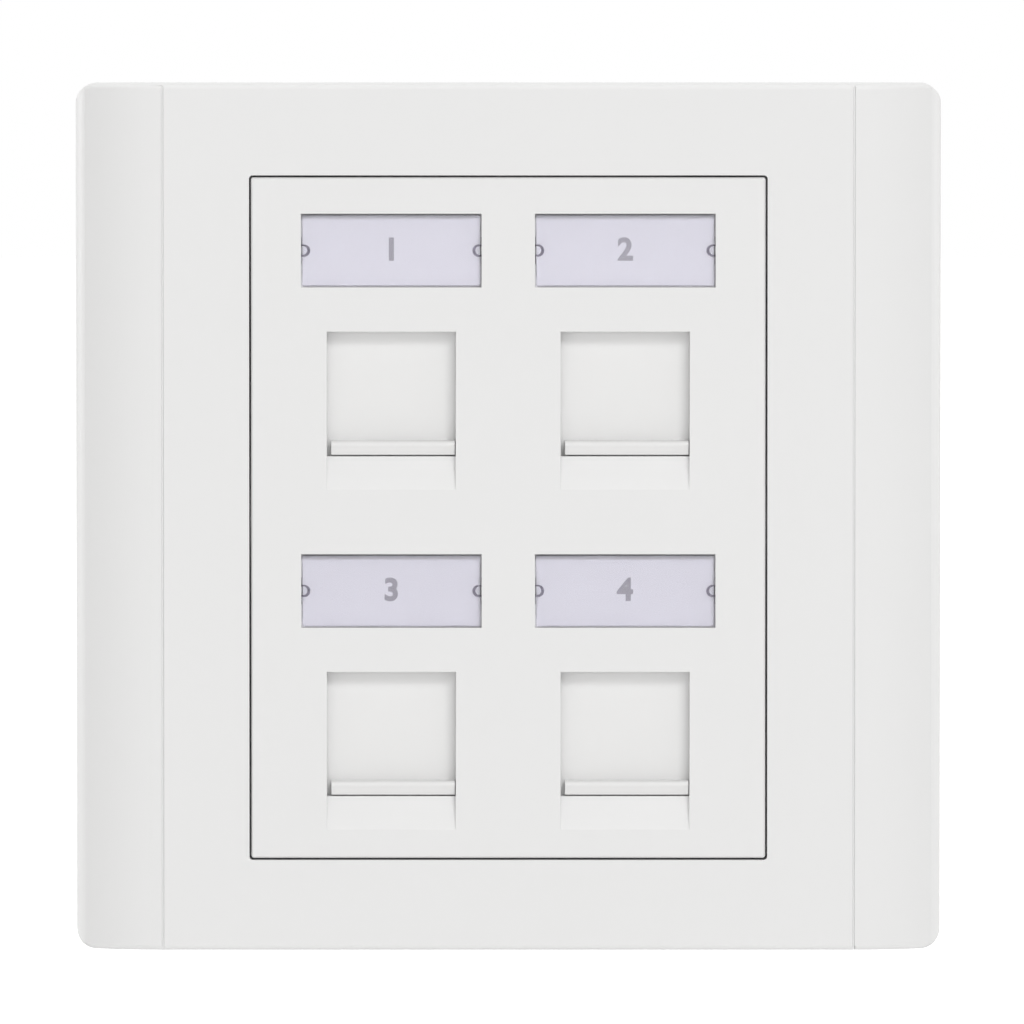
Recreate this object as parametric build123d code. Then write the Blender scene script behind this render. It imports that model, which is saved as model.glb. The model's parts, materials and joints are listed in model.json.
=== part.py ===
"""Four-port data outlet for a square wall box, with spring shutters, label windows and clip-in jacks.

X runs right, Z runs up and the room is at -Y. The plane Y = 0 is the wall's surface, and the origin is
midway between the two wall screws. A "rise" is a distance in front of the wall, so a negative rise lies
inside the wall box. All sizes are in millimetres.
"""

from build123d import *
from math import cos, pi, sin
import os

# Clearances
seat_gap = 0.1
running_gap = 0.1
reveal_gap = 0.2

# Cover frame
plate_size = 86.0
cover_rise = 9.0
cover_skin = 2.0
cover_wall = 1.8
cover_corner_radius = 2.0
cover_edge_round = 0.5
wing_width = 8.7
wing_radius = 13.7
rim_width = 1.0
rim_radius = 4.2
seam_width = 0.2
seam_depth = 0.2
opening_width = 51.4
opening_height = 68.0
opening_corner_radius = 0.35
collar_wall = 1.2
collar_height = 2.4
cover_rib_thickness = 1.0
cover_rib_spacing = 36.0
pry_notch_width = 9.0
pry_notch_height = 1.2

# Clips that hold the cover frame to the flange
clip_span = 40.0
clip_width = 7.0
clip_lift = 1.0
clip_ledge_height = 1.2
clip_post_thickness = 1.2
clip_barb_reach = 0.8
clip_barb_height = 1.1

# Face insert and its mounting flange
insert_wall = 1.6
insert_skin = 2.0
insert_corner_radius = 0.25
insert_edge_bevel = 0.15
flange_margin = 4.5
flange_thickness = 2.2
flange_corner_radius = 3.0
screw_spacing = 60.3
screw_slot_width = 4.2
screw_slot_length = 7.0

# Ports, in two columns and two rows
column_spacing = 23.2
row_spacing = 33.8
upper_window_top = 18.5
window_width = 12.8
window_height = 12.4
ramp_height = 3.3
ramp_depth = 1.0

# Label windows, one above each port
label_width = 17.9
label_height = 7.3
label_above_window = 4.4
label_pocket_depth = 1.05
label_cover_thickness = 0.7
label_card_thickness = 0.2
label_side_gap = 0.08
label_end_gap = 0.16
dimple_radius = 0.7
dimple_inset = 0.3
dimple_depth = 0.45
nib_length = 2.6
nib_reach = 0.22
nib_height = 0.35

# Shutters
shutter_thickness = 1.4
shutter_side_overlap = 0.6
shutter_top_overlap = 0.8
shutter_bottom_overlap = 0.7
raised_gap = 0.2
ledge_height = 1.4
ledge_left_gap = 0.42
ledge_right_gap = 0.1
ledge_bottom_gap = 0.15
ledge_setback = 0.2
ledge_lean = 0.5
ledge_crest = 0.45
ledge_round = 0.35
guide_width = 0.9
stop_height = 0.9
stop_width = 4.0
ear_height = 1.4
ear_side_gap = 0.1

# Shutter springs, each in a channel beside its shutter
spring_offset = 9.2
spring_radius = 0.95
wire_radius = 0.14
wire_sides = 4
spring_turns = 8
spring_facets = 8
spring_length = 16.4
channel_width = 2.3
groove_depth = 0.6
peg_radius = 0.5
peg_length = 1.6

# Jack carrier behind the shutters
carrier_thickness = 1.8
carrier_margin = 0.2
carrier_lip = 0.8
lip_margin = 0.3
cradle_wall = 1.2
cradle_depth = 9.4

# Screws that hold the carrier to the insert
carrier_screw_x = 22.0
carrier_screw_z = 29.6
boss_radius = 2.1
pilot_radius = 0.95
pilot_depth = 1.1
shank_radius = 0.85
shank_length = 4.2
shank_clearance = 0.4
head_radius = 1.7
head_height = 1.1
recess_length = 1.9
recess_width = 0.45
recess_depth = 0.6

# Jack housings
jack_width = 14.5
jack_height = 16.1
jack_length = 15.0
jack_drop = 1.0
jack_face_thickness = 1.2
jack_roof = 0.6
plug_width = 11.9
plug_roof = 2.2
plug_height = 6.8
plug_depth = 13.2
latch_wide_width = 6.4
latch_narrow_width = 3.4
latch_step = 1.2
arm_width = 6.0
arm_thickness = 1.0
arm_gap = 0.35
arm_length = 12.4
tooth_setback = 4.0
tooth_length = 1.8
tooth_reach = 0.9
lug_width = 8.0

# Contact wires and the comb that spaces them
contact_count = 8
contact_pitch = 1.02
contact_width = 0.34
contact_thickness = 0.3
contact_bend = 0.8
contact_bend_flats = 3
contact_slope = 20.0
contact_spring_length = 4.2
contact_setback = 3.6
contact_rise = 0.85
contact_clearance = 0.8
comb_side_margin = 1.4

# Circuit board
board_thickness = 1.2
board_margin = 0.35

# Terminal block behind the board
block_base = 2.0
tower_length = 7.6
tower_height = 3.9
terminal_columns = 4
terminal_pitch = 3.2
wire_slot_width = 0.9
wire_slot_floor = 1.4
blade_width = 2.0
blade_thickness = 0.4
blade_fork_width = 0.4
blade_fork_depth = 3.6
blade_setback = 0.6
blade_gap = 0.08
side_arm_width = 5.0
side_arm_thickness = 0.8
side_arm_gap = 0.05
side_arm_reach = 5.4
side_tooth_reach = 0.45
side_tooth_length = 1.6
side_recess_depth = 0.6

# Wire cap over the terminals
cap_plate = 1.4
cap_skirt_length = 4.0
cap_skirt_wall = 0.9
cap_hole_width = 8.0
cap_hole_margin = 0.4
stuffer_width = 0.7
stuffer_depth = 0.5

# Overshoot for cutting tools, past the faces that they open
past = 1.0

# Heights in front of the wall, worked out from the sizes above
insert_rear = cover_rise - insert_skin
shutter_front = insert_rear - running_gap
shutter_back = shutter_front - shutter_thickness
carrier_front = shutter_back - running_gap
carrier_back = carrier_front - carrier_thickness
jack_front = carrier_front - carrier_lip
jack_back = jack_front - jack_length
board_back = jack_back - board_thickness
tower_front = board_back - block_base
tower_back = tower_front - tower_length
groove_floor = carrier_front - groove_depth
spring_rise = (insert_rear + groove_floor) / 2
clip_ledge_rise = flange_thickness + clip_lift
clip_barb_rise = clip_ledge_rise + clip_ledge_height + seat_gap
label_floor = cover_rise - label_pocket_depth

# Places and extents across the front, worked out from the sizes above
half_plate = plate_size / 2
flange_size = plate_size - 2 * flange_margin
seam_x = half_plate - wing_width
insert_width = opening_width - 2 * reveal_gap
insert_height = opening_height - 2 * reveal_gap
inner_width = insert_width - 2 * insert_wall
inner_height = insert_height - 2 * insert_wall
post_face = flange_size / 2 - clip_barb_reach - seat_gap
panel_width = window_width + 2 * shutter_side_overlap
window_half = window_height / 2
panel_bottom = -window_half - shutter_bottom_overlap
panel_top = window_half + shutter_top_overlap
label_center = window_half + label_above_window + label_height / 2
spring_bottom = panel_bottom + ear_height
spring_top = spring_bottom + spring_length
jack_half = jack_height / 2
body_top = jack_half - arm_thickness - arm_gap
body_height = body_top + jack_half
body_middle = (body_top - jack_half) / 2
plug_top = body_top - plug_roof
plug_bottom = plug_top - plug_height
shutter_travel = plug_top - jack_drop + raised_gap - panel_bottom
contact_level = plug_top + contact_rise
contact_front = jack_front - contact_setback
tower_gap = body_height - 2 * tower_height

upper_row = upper_window_top - window_half
port_places = [
    (column, row)
    for row in (upper_row, upper_row - row_spacing)
    for column in (-column_spacing / 2, column_spacing / 2)
]
screw_rows = (-carrier_screw_z, carrier_screw_z)
screw_places = [(x, z) for x in (-carrier_screw_x, carrier_screw_x) for z in screw_rows]


def slab(outline, low, high):
    """A front-view outline, drawn in X and Z, filled from one rise above the wall to another."""
    return extrude(Plane.XZ.offset(low) * outline, amount=high - low, dir=(0, -1, 0))


def bar(profile, width):
    """A side-view profile, drawn in Y and Z, filled across a width centred on X = 0."""
    return extrude(Plane.YZ.offset(-width / 2) * profile, amount=width, dir=(1, 0, 0))


def side_outline(*corners):
    """A side-view outline from (rise, height) corners."""
    return make_face(Polyline([(-rise, height) for rise, height in corners], close=True))


def span(width, low, high):
    """A front-view rectangle centred on X = 0, from one height to another."""
    return Pos(0, (low + high) / 2) * Rectangle(width, high - low)


def at_port(place, shape):
    """A shape made about its port's window, moved to that port."""
    column, row = place
    return Pos(column, 0, row) * shape


def at_jack(place, shape):
    """A shape made about its plug's centre line, moved to that port's jack."""
    column, row = place
    return Pos(column, 0, row - jack_drop) * shape


def inward(place):
    """Which way along X the middle of the outlet lies from a port."""
    return -1 if place[0] > 0 else 1


# Cover frame
def cover_section(side_inset, front_inset):
    """The cover's cross-section seen from above, drawn in X and Y, inset behind its outer surface."""
    side = half_plate - side_inset
    front = cover_rise - front_inset
    radius = wing_radius - front_inset
    wing_end = min(half_plate - rim_width, side)
    wing_end_rise = cover_rise - wing_radius + (radius**2 - (wing_end - seam_x) ** 2) ** 0.5
    rim_fall = (2 * rim_radius * rim_width - rim_width**2) ** 0.5
    with BuildSketch() as section:
        with BuildLine():
            band = Line((0, -front), (seam_x, -front))
            end = RadiusArc(band @ 1, (wing_end, -wing_end_rise), -radius)
            if side > wing_end:
                end = RadiusArc(end @ 1, (side, rim_fall - wing_end_rise), -rim_radius)
            wall = Line(end @ 1, (side, 0))
            Polyline(wall @ 1, (0, 0), band @ 0)
        make_face()
        mirror(about=Plane.YZ)
    return section.sketch


def cover_shell():
    """The hollow frame with its rounded corners, before the opening and clips."""
    shell = extrude(cover_section(0, 0), amount=half_plate, both=True)
    shell &= slab(RectangleRounded(plate_size, plate_size, cover_corner_radius), 0, cover_rise)
    ends = [face for face in shell.faces() if abs(abs(face.center().Z) - half_plate) < past / 2]
    edges = [e for face in ends for e in face.edges() if e.center().Y < -cover_rise / 2]
    shell = fillet(edges, cover_edge_round)
    hollow = extrude(cover_section(cover_wall, cover_skin), amount=half_plate - cover_wall, both=True)
    return shell - hollow


def cover_frame():
    """The decorative frame: a flat band between two curved wings, snapped over the flange."""
    under_skin = cover_rise - cover_skin
    frame = cover_shell()
    inside = half_plate - cover_wall
    ledge_inner = post_face + seat_gap
    for x in (-clip_span / 2, clip_span / 2):
        ledge = Pos(x, 0) * span(clip_width, ledge_inner, inside + cover_wall / 2)
        upper = slab(ledge, clip_ledge_rise, clip_ledge_rise + clip_ledge_height)
        frame += [upper, mirror(upper, Plane.XY)]
    stiffeners = Rectangle(2 * inside, cover_rib_thickness)
    collar = Rectangle(opening_width + 2 * collar_wall, opening_height + 2 * collar_wall)
    collar_low = under_skin - collar_height
    frame += slab(collar, collar_low, under_skin + cover_skin / 2)
    envelope = extrude(cover_section(cover_wall / 2, cover_skin / 2), amount=inside, both=True)
    for z in (-cover_rib_spacing / 2, cover_rib_spacing / 2):
        frame += slab(Pos(0, z) * stiffeners, collar_low, under_skin + cover_skin / 2) & envelope
    seam = Rectangle(seam_width, plate_size + past)
    for x in (-seam_x, seam_x):
        frame -= slab(Pos(x, 0) * seam, cover_rise - seam_depth, cover_rise + past)
    opening = RectangleRounded(opening_width, opening_height, opening_corner_radius)
    frame -= slab(opening, 0, cover_rise + past)
    pry_notch = Pos(0, -half_plate) * Rectangle(pry_notch_width, 4 * cover_wall)
    frame -= slab(pry_notch, -past, pry_notch_height)
    return frame


# Face insert
def clip_post():
    """The upper hooked post that holds the cover's ledge."""
    root = post_face - clip_post_thickness
    top = clip_barb_rise + clip_barb_height
    profile = side_outline(
        (flange_thickness / 2, root),
        (top, root),
        (top, post_face),
        (clip_barb_rise, post_face + clip_barb_reach),
        (clip_barb_rise, post_face),
        (flange_thickness / 2, post_face),
    )
    return bar(profile, clip_width)


def port_cuts(place):
    """The shutter window, its finger ramp and the label pocket, cut through the insert's skin."""
    window = slab(Rectangle(window_width, window_height), 0, cover_rise + past)
    foot = -window_half - ramp_height
    ramp = side_outline(
        (cover_rise - ramp_depth, -window_half),
        (cover_rise + past, foot - past * ramp_height / ramp_depth),
        (cover_rise + past, 0),
        (cover_rise - ramp_depth, 0),
    )
    pocket = Pos(0, label_center) * Rectangle(label_width, label_height)
    pocket = slab(pocket, label_floor, cover_rise + past)
    nib_floor = label_floor + label_card_thickness
    undercut = Rectangle(label_width + 2 * nib_reach + seat_gap, nib_length + 2 * seat_gap)
    undercut = slab(Pos(0, label_center) * undercut, nib_floor, nib_floor + nib_height + 2 * seat_gap)
    return [at_port(place, cut) for cut in (window, bar(ramp, window_width), pocket, undercut)]


def shutter_guides(place):
    """The ribs behind the skin that guide one shutter, stop it and hold its spring."""
    side = inward(place)
    low = carrier_front + seat_gap / 2
    rib_x = panel_width / 2 + running_gap + guide_width / 2
    guide_top = panel_top + shutter_travel + running_gap
    ear_clear = panel_bottom + ear_height + shutter_travel + seat_gap
    channel_wall_x = spring_offset + channel_width / 2 + guide_width / 2
    stop_low = panel_bottom - stop_height
    spring_stop = span(channel_width + guide_width, spring_top, spring_top + stop_height)
    outlines = [
        Pos(-side * rib_x, 0) * span(guide_width, stop_low, guide_top + stop_height),
        Pos(side * rib_x, 0) * span(guide_width, ear_clear, guide_top + stop_height),
        Pos(side * channel_wall_x, 0) * span(guide_width, stop_low, spring_top + stop_height),
        Pos(side * spring_offset, 0) * spring_stop,
        span(panel_width, stop_low, panel_bottom),
        span(stop_width, guide_top, guide_top + stop_height),
    ]
    return [at_port(place, slab(outline, low, insert_rear + insert_skin / 4)) for outline in outlines]


def face_insert():
    """The front plate with its mounting flange, windows, label pockets and the shutters' guides."""
    front = RectangleRounded(insert_width, insert_height, insert_corner_radius)
    block = slab(front, 0, cover_rise)
    block = chamfer(block.faces().sort_by(Axis.Y)[0].edges(), insert_edge_bevel)
    flange = slab(RectangleRounded(flange_size, flange_size, flange_corner_radius), 0, flange_thickness)
    insert = block + flange - slab(Rectangle(inner_width, inner_height), -past, insert_rear)
    for x in (-clip_span / 2, clip_span / 2):
        post = Pos(x, 0, 0) * clip_post()
        insert += [post, mirror(post, Plane.XY)]
    for x, z in screw_places:
        insert += slab(Pos(x, z) * Circle(boss_radius), carrier_front, insert_rear + insert_skin / 4)
    for place in port_places:
        insert += shutter_guides(place)
    for x, z in screw_places:
        insert -= slab(Pos(x, z) * Circle(pilot_radius), carrier_front, insert_rear + pilot_depth)
    for place in port_places:
        insert -= port_cuts(place)
    slot = SlotOverall(screw_slot_length, screw_slot_width)
    for x in (-screw_spacing / 2, screw_spacing / 2):
        insert -= slab(Pos(x, 0) * slot, -past, flange_thickness + past)
    return insert


# Shutters, springs and labels
def finger_ledge():
    """The bar that a fingernail lifts a shutter by, full at its top and leaning back below."""
    low = -window_half + ledge_bottom_gap
    high = low + ledge_height
    front = cover_rise - ledge_setback
    corners = [(shutter_front, low), (front - ledge_lean, low), (front, high - ledge_crest)]
    profile = side_outline(*corners, (front, high), (shutter_front, high))
    profile = fillet(profile.vertices().sort_by(Axis.X)[:2], ledge_round)
    width = window_width - ledge_left_gap - ledge_right_gap
    return Pos((ledge_left_gap - ledge_right_gap) / 2, 0, 0) * bar(profile, width)


def shutter(place):
    """A sliding dust door: its panel, the finger ledge and the ear that the spring pushes on."""
    side = inward(place)
    panel = slab(span(panel_width, panel_bottom, panel_top), shutter_back, shutter_front)
    ledge = finger_ledge()
    ear_inner = panel_width / 2
    ear_outer = spring_offset + channel_width / 2 - ear_side_gap
    ear_middle = side * (ear_inner + ear_outer) / 2
    ear_outline = Pos(ear_middle, 0) * span(ear_outer - ear_inner, panel_bottom, spring_bottom)
    ear = slab(ear_outline, shutter_back, shutter_front)
    seat_outline = span(channel_width - 2 * ear_side_gap, panel_bottom, spring_bottom)
    seat = slab(Pos(side * spring_offset, 0) * seat_outline, groove_floor + running_gap, shutter_front)
    peg = Cylinder(peg_radius, peg_length, align=(Align.CENTER, Align.CENTER, Align.MIN))
    peg = Pos(side * spring_offset, -spring_rise, spring_bottom) * peg
    door = panel + ledge + ear + seat + peg
    return at_port(place, door)


def shutter_spring(place):
    """The compression spring between a shutter's ear and the stop at the head of its channel."""
    mean_radius = spring_radius - wire_radius
    low = spring_bottom + wire_radius + seat_gap / 2
    high = spring_top - wire_radius - seat_gap / 2
    steps = spring_turns * spring_facets
    points = []
    for step in range(steps + 1):
        angle = 2 * pi * step / spring_facets
        height = low + (high - low) * step / steps
        points.append((mean_radius * cos(angle), mean_radius * sin(angle), height))
    coil = Polyline(*points)
    section = Plane(origin=coil @ 0, z_dir=coil % 0) * RegularPolygon(wire_radius, wire_sides)
    spring = sweep(section, path=coil, transition=Transition.RIGHT)
    return at_port(place, Pos(inward(place) * spring_offset, -spring_rise, 0) * spring)


def label_card(place):
    """The paper slip under a label cover."""
    outline = Rectangle(label_width - 4 * label_side_gap, label_height - 4 * label_side_gap)
    card = slab(Pos(0, label_center) * outline, label_floor, label_floor + label_card_thickness)
    return at_port(place, card)


def label_cover(place):
    """The clear cover of a label, with a snap nib and a pry dimple at each end."""
    width = label_width - 2 * label_side_gap
    low = label_floor + label_card_thickness
    high = low + label_cover_thickness
    cover = slab(Rectangle(width, label_height - 2 * label_end_gap), low, high)
    nibs = Rectangle(label_width + 2 * nib_reach - seat_gap, nib_length)
    cover += slab(nibs, low + seat_gap, low + seat_gap + nib_height)
    for x in (dimple_inset - width / 2, width / 2 - dimple_inset):
        cover -= slab(Pos(x, 0) * Circle(dimple_radius), high - dimple_depth, high + past)
    return at_port(place, Pos(0, 0, label_center) * cover)


# Jack carrier and its screws
def cradle_cuts():
    """The jack's seat, the opening in its lip and the catches of its tooth and lug."""
    seat = Rectangle(jack_width + 2 * seat_gap, jack_height + 2 * seat_gap)
    seat = slab(seat, jack_front - cradle_depth - past, jack_front)
    lip = Rectangle(window_width + 2 * lip_margin, window_height + 2 * lip_margin)
    lip = slab(Pos(0, jack_drop) * lip, jack_front - past, carrier_front + past)
    catch_low = jack_front - tooth_setback - tooth_length - seat_gap
    catch_high = jack_front - tooth_setback + seat_gap
    reach = jack_half + 2 * cradle_wall
    tooth_catch = slab(span(arm_width + 2 * seat_gap, 0, reach), catch_low, catch_high)
    lug_catch = slab(span(lug_width + 2 * seat_gap, -reach, 0), catch_low, catch_high)
    return [seat, lip, tooth_catch, lug_catch]


def jack_carrier():
    """The plate that traps the shutters and springs, with a cradle for each jack."""
    outline = Rectangle(inner_width - 2 * carrier_margin, inner_height - 2 * carrier_margin)
    carrier = slab(outline, carrier_back, carrier_front)
    outer_wall = 2 * (seat_gap + cradle_wall)
    cradle = slab(
        Rectangle(jack_width + outer_wall, jack_height + outer_wall),
        jack_front - cradle_depth,
        carrier_back + carrier_thickness / 2,
    )
    carrier += [at_jack(place, cradle) for place in port_places]
    for place in port_places:
        carrier -= [at_jack(place, cut) for cut in cradle_cuts()]
        groove = span(channel_width, panel_bottom - seat_gap, spring_top + seat_gap)
        groove = slab(Pos(inward(place) * spring_offset, 0) * groove, groove_floor, carrier_front + past)
        carrier -= at_port(place, groove)
    for x, z in screw_places:
        hole = Pos(x, z) * Circle(shank_radius + shank_clearance)
        carrier -= slab(hole, carrier_back - past, carrier_front + past)
        head_room = Pos(x, z) * Circle(head_radius + seat_gap / 2)
        carrier -= slab(head_room, jack_front - cradle_depth - past, carrier_back)
    return carrier


def carrier_screws():
    """Cross-head screws that clamp the carrier against the insert's bosses."""
    head_back = carrier_back - head_height
    screw = slab(Circle(head_radius), head_back, carrier_back)
    screw += slab(Circle(shank_radius), carrier_back, carrier_back + shank_length)
    cross = Rectangle(recess_length, recess_width) + Rectangle(recess_width, recess_length)
    screw -= slab(cross, head_back - past, head_back + recess_depth)
    return Compound([Pos(x, 0, z) * screw for x, z in screw_places])


# Jacks
def plug_outline():
    """The stepped front view of the plug's cavity, with its latch slot below."""
    wide_floor = plug_bottom - latch_step
    narrow_floor = wide_floor - latch_step
    outline = span(plug_width, plug_bottom, plug_top)
    outline += span(latch_wide_width, wide_floor, plug_top)
    outline += span(latch_narrow_width, narrow_floor, plug_top)
    return outline


def jack_housing(place):
    """The jack's shell, with the plug cavity, a sprung latch arm on top and a lug below."""
    body = slab(span(jack_width, -jack_half, body_top), jack_back, jack_front)
    face_low = jack_front - jack_face_thickness
    face = slab(Rectangle(jack_width, jack_height), face_low, jack_front)
    arm_low = jack_half - arm_thickness
    arm = span(arm_width, arm_low, jack_half)
    arm = slab(arm, face_low - arm_length, jack_front - jack_face_thickness / 2)
    tooth_front = jack_front - tooth_setback
    tooth_back = tooth_front - tooth_length
    tooth = side_outline(
        (tooth_front, jack_half - arm_thickness / 2),
        (tooth_front, jack_half),
        (tooth_back, jack_half + tooth_reach),
        (tooth_back, jack_half - arm_thickness / 2),
    )
    lug = slab(span(lug_width, -jack_half - tooth_reach, -jack_half + tooth_reach), tooth_back, tooth_front)
    housing = body + face + arm + bar(tooth, arm_width) + lug
    housing -= slab(plug_outline(), jack_front - plug_depth, jack_front + past)
    channel = span(jack_width - 2 * comb_side_margin, plug_top - contact_rise, body_top - jack_roof)
    housing -= slab(channel, jack_back - past, contact_front + contact_clearance)
    recess_front = board_back + side_arm_reach + seat_gap
    recess_back = recess_front - side_tooth_length - 2 * seat_gap
    recess = Rectangle(2 * side_recess_depth, side_arm_width + 2 * seat_gap)
    recess = slab(recess, recess_back, recess_front)
    housing -= [Pos(x, 0, body_middle) * recess for x in (-jack_width / 2, jack_width / 2)]
    return at_jack(place, housing)


def contact_comb(place):
    """The moulded comb over the contacts, grooved to hold them at their pitch."""
    high = body_top - jack_roof - seat_gap
    low = contact_level - contact_thickness
    comb_width = jack_width - 2 * comb_side_margin - 2 * seat_gap
    front = contact_front - contact_bend
    comb = slab(span(comb_width, low, high), jack_back, front)
    groove_top = contact_level + contact_thickness / 2 + seat_gap / 2
    groove = slab(span(contact_width + seat_gap, low - past, groove_top), jack_back - past, front + past)
    for index in range(contact_count):
        comb -= Pos((index - (contact_count - 1) / 2) * contact_pitch, 0, 0) * groove
    return at_jack(place, comb)


def jack_contacts(place):
    """The sprung contact wires: forward under the comb, round a bend and back down into the cavity."""
    radius = contact_bend - contact_thickness / 2
    center = Vector(contact_bend - contact_front, contact_level - radius)
    turn = 180 - contact_slope
    angles = [90 + turn * flat / contact_bend_flats for flat in range(contact_bend_flats + 1)]
    bend = [center + Vector(radius, 0).rotate(Axis.Z, angle) for angle in angles]
    tip = bend[-1] + Vector(contact_spring_length, 0).rotate(Axis.Z, -contact_slope)
    route = Polyline((-jack_back, contact_level), *bend, tip)
    wire = bar(trace(route, contact_thickness), contact_width)
    offsets = [(index - (contact_count - 1) / 2) * contact_pitch for index in range(contact_count)]
    return at_jack(place, Compound([Pos(x, 0, 0) * wire for x in offsets]))


def jack_board(place):
    """The circuit board that joins the contacts to the terminals."""
    outline = Rectangle(jack_width - 2 * board_margin, body_height - 2 * board_margin)
    return at_jack(place, slab(Pos(0, body_middle) * outline, board_back, jack_back))


# Terminals
def terminal_places():
    """The centre of each terminal, in front view about the jack."""
    reach = (body_height - tower_height) / 2
    columns = [(index - (terminal_columns - 1) / 2) * terminal_pitch for index in range(terminal_columns)]
    return [(x, body_middle + z) for z in (-reach, reach) for x in columns]


def terminal_block(place):
    """The rear housing: a base with two slotted towers and side arms that clip to the jack."""
    base = slab(Pos(0, body_middle) * Rectangle(jack_width, body_height), tower_front, board_back)
    arm_inner = jack_width / 2 + side_arm_gap
    arm_outer = arm_inner + side_arm_thickness
    wings = Pos(0, body_middle) * Rectangle(2 * arm_outer, side_arm_width)
    block = base + slab(wings, tower_front, board_back)
    arm_front = board_back + side_arm_reach
    arm = slab(Rectangle(side_arm_thickness, side_arm_width), tower_front, arm_front)
    tooth = slab(Rectangle(2 * side_tooth_reach, side_arm_width), arm_front - side_tooth_length, arm_front)
    for side in (-1, 1):
        block += Pos(side * (arm_inner + side_arm_thickness / 2), 0, body_middle) * arm
        block += Pos(side * arm_inner, 0, body_middle) * tooth
    tower = slab(Rectangle(jack_width, tower_height), tower_back, tower_front + block_base / 2)
    reach = (body_height - tower_height) / 2
    block += [Pos(0, 0, body_middle + z) * tower for z in (-reach, reach)]
    slot = Rectangle(wire_slot_width, tower_height + past)
    slot = slab(slot, tower_back - past, tower_front - wire_slot_floor)
    pocket_outline = Rectangle(blade_width + 2 * blade_gap, blade_thickness + 2 * blade_gap)
    pocket = slab(pocket_outline, tower_back + blade_setback - blade_gap, board_back + past)
    for x, z in terminal_places():
        block -= [Pos(x, 0, z) * slot, Pos(x, 0, z) * pocket]
    return at_jack(place, block)


def terminal_blades(place):
    """The forked blades that cut into the wires, standing on the board."""
    tip = tower_back + blade_setback
    blade = slab(Rectangle(blade_width, blade_thickness), tip, board_back)
    blade -= slab(Rectangle(blade_fork_width, blade_thickness + past), tip - past, tip + blade_fork_depth)
    return at_jack(place, Compound([Pos(x, 0, z) * blade for x, z in terminal_places()]))


def wire_cap(place):
    """The cap that presses the wires home and covers the terminals, with a cable hole."""
    skirt_inner = body_height / 2 + seat_gap
    skirt_outer = skirt_inner + cap_skirt_wall
    cap = slab(Rectangle(jack_width, 2 * skirt_outer), tower_back - cap_plate, tower_back)
    skirt = span(jack_width, skirt_inner, skirt_outer)
    skirt = slab(skirt, tower_back - cap_plate / 2, tower_back + cap_skirt_length)
    cap += [skirt, mirror(skirt, Plane.XY)]
    hole = Rectangle(cap_hole_width, tower_gap - 2 * cap_hole_margin)
    cap -= slab(hole, tower_back - cap_plate - past, tower_back + past)
    slot = Rectangle(wire_slot_width, 2 * skirt_outer + past)
    slot = slab(slot, tower_back, tower_back + cap_skirt_length + past)
    stuffer = Rectangle(stuffer_width, tower_height - 2 * seat_gap)
    stuffer = slab(stuffer, tower_back - cap_plate / 2, tower_back + stuffer_depth)
    for x, z in terminal_places():
        cap -= Pos(x, 0, 0) * slot
        cap += Pos(x, 0, z - body_middle) * stuffer
    return at_jack(place, Pos(0, 0, body_middle) * cap)


single_pieces = {
    "cover_frame": cover_frame,
    "face_insert": face_insert,
    "jack_carrier": jack_carrier,
    "carrier_screws": carrier_screws,
}
port_pieces = {
    "shutter": shutter,
    "shutter_spring": shutter_spring,
    "label_card": label_card,
    "label_cover": label_cover,
    "jack_housing": jack_housing,
    "contact_comb": contact_comb,
    "jack_contacts": jack_contacts,
    "jack_board": jack_board,
    "terminal_block": terminal_block,
    "terminal_blades": terminal_blades,
    "wire_cap": wire_cap,
}

os.makedirs("parts", exist_ok=True)
for name, make in single_pieces.items():
    export_step(make(), f"parts/{name}.step")
for number, place in enumerate(port_places, start=1):
    for name, make in port_pieces.items():
        export_step(make(place), f"parts/{name}_{number}.step")
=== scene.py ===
"""The looks of a four-port data outlet: softened mouldings, clear label windows, springs, wires and screws.

X runs right, Z runs up and the room is at -Y. The wall's surface is Y = 0. All lengths are in metres.
"""

import json
import logging
import math
from abc import ABC, abstractmethod
from collections.abc import Iterable
from dataclasses import dataclass
from enum import Enum

import bmesh
import bpy
from mathutils import Matrix, Vector


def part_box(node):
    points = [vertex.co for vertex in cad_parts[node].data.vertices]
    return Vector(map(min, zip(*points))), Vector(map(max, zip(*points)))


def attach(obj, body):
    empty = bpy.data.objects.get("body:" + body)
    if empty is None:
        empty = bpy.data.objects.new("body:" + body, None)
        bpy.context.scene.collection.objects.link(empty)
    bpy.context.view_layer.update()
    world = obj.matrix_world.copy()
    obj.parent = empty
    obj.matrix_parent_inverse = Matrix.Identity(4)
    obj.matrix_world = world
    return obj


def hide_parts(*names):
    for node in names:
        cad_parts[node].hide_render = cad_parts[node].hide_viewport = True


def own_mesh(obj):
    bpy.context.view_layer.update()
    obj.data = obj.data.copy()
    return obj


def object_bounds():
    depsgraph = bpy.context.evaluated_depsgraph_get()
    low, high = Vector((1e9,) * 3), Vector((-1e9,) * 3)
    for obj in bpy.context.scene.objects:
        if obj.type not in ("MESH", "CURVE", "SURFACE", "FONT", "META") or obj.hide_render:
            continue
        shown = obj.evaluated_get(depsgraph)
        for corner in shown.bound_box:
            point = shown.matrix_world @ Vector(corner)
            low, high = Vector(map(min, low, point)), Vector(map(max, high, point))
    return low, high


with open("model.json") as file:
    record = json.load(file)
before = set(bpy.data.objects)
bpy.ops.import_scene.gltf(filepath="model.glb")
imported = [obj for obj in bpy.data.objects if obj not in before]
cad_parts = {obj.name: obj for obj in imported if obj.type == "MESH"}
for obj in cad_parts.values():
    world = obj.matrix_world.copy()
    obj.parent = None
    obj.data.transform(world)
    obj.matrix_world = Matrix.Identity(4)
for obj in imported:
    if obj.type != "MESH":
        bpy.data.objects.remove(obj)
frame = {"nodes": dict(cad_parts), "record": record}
CAD_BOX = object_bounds()

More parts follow.
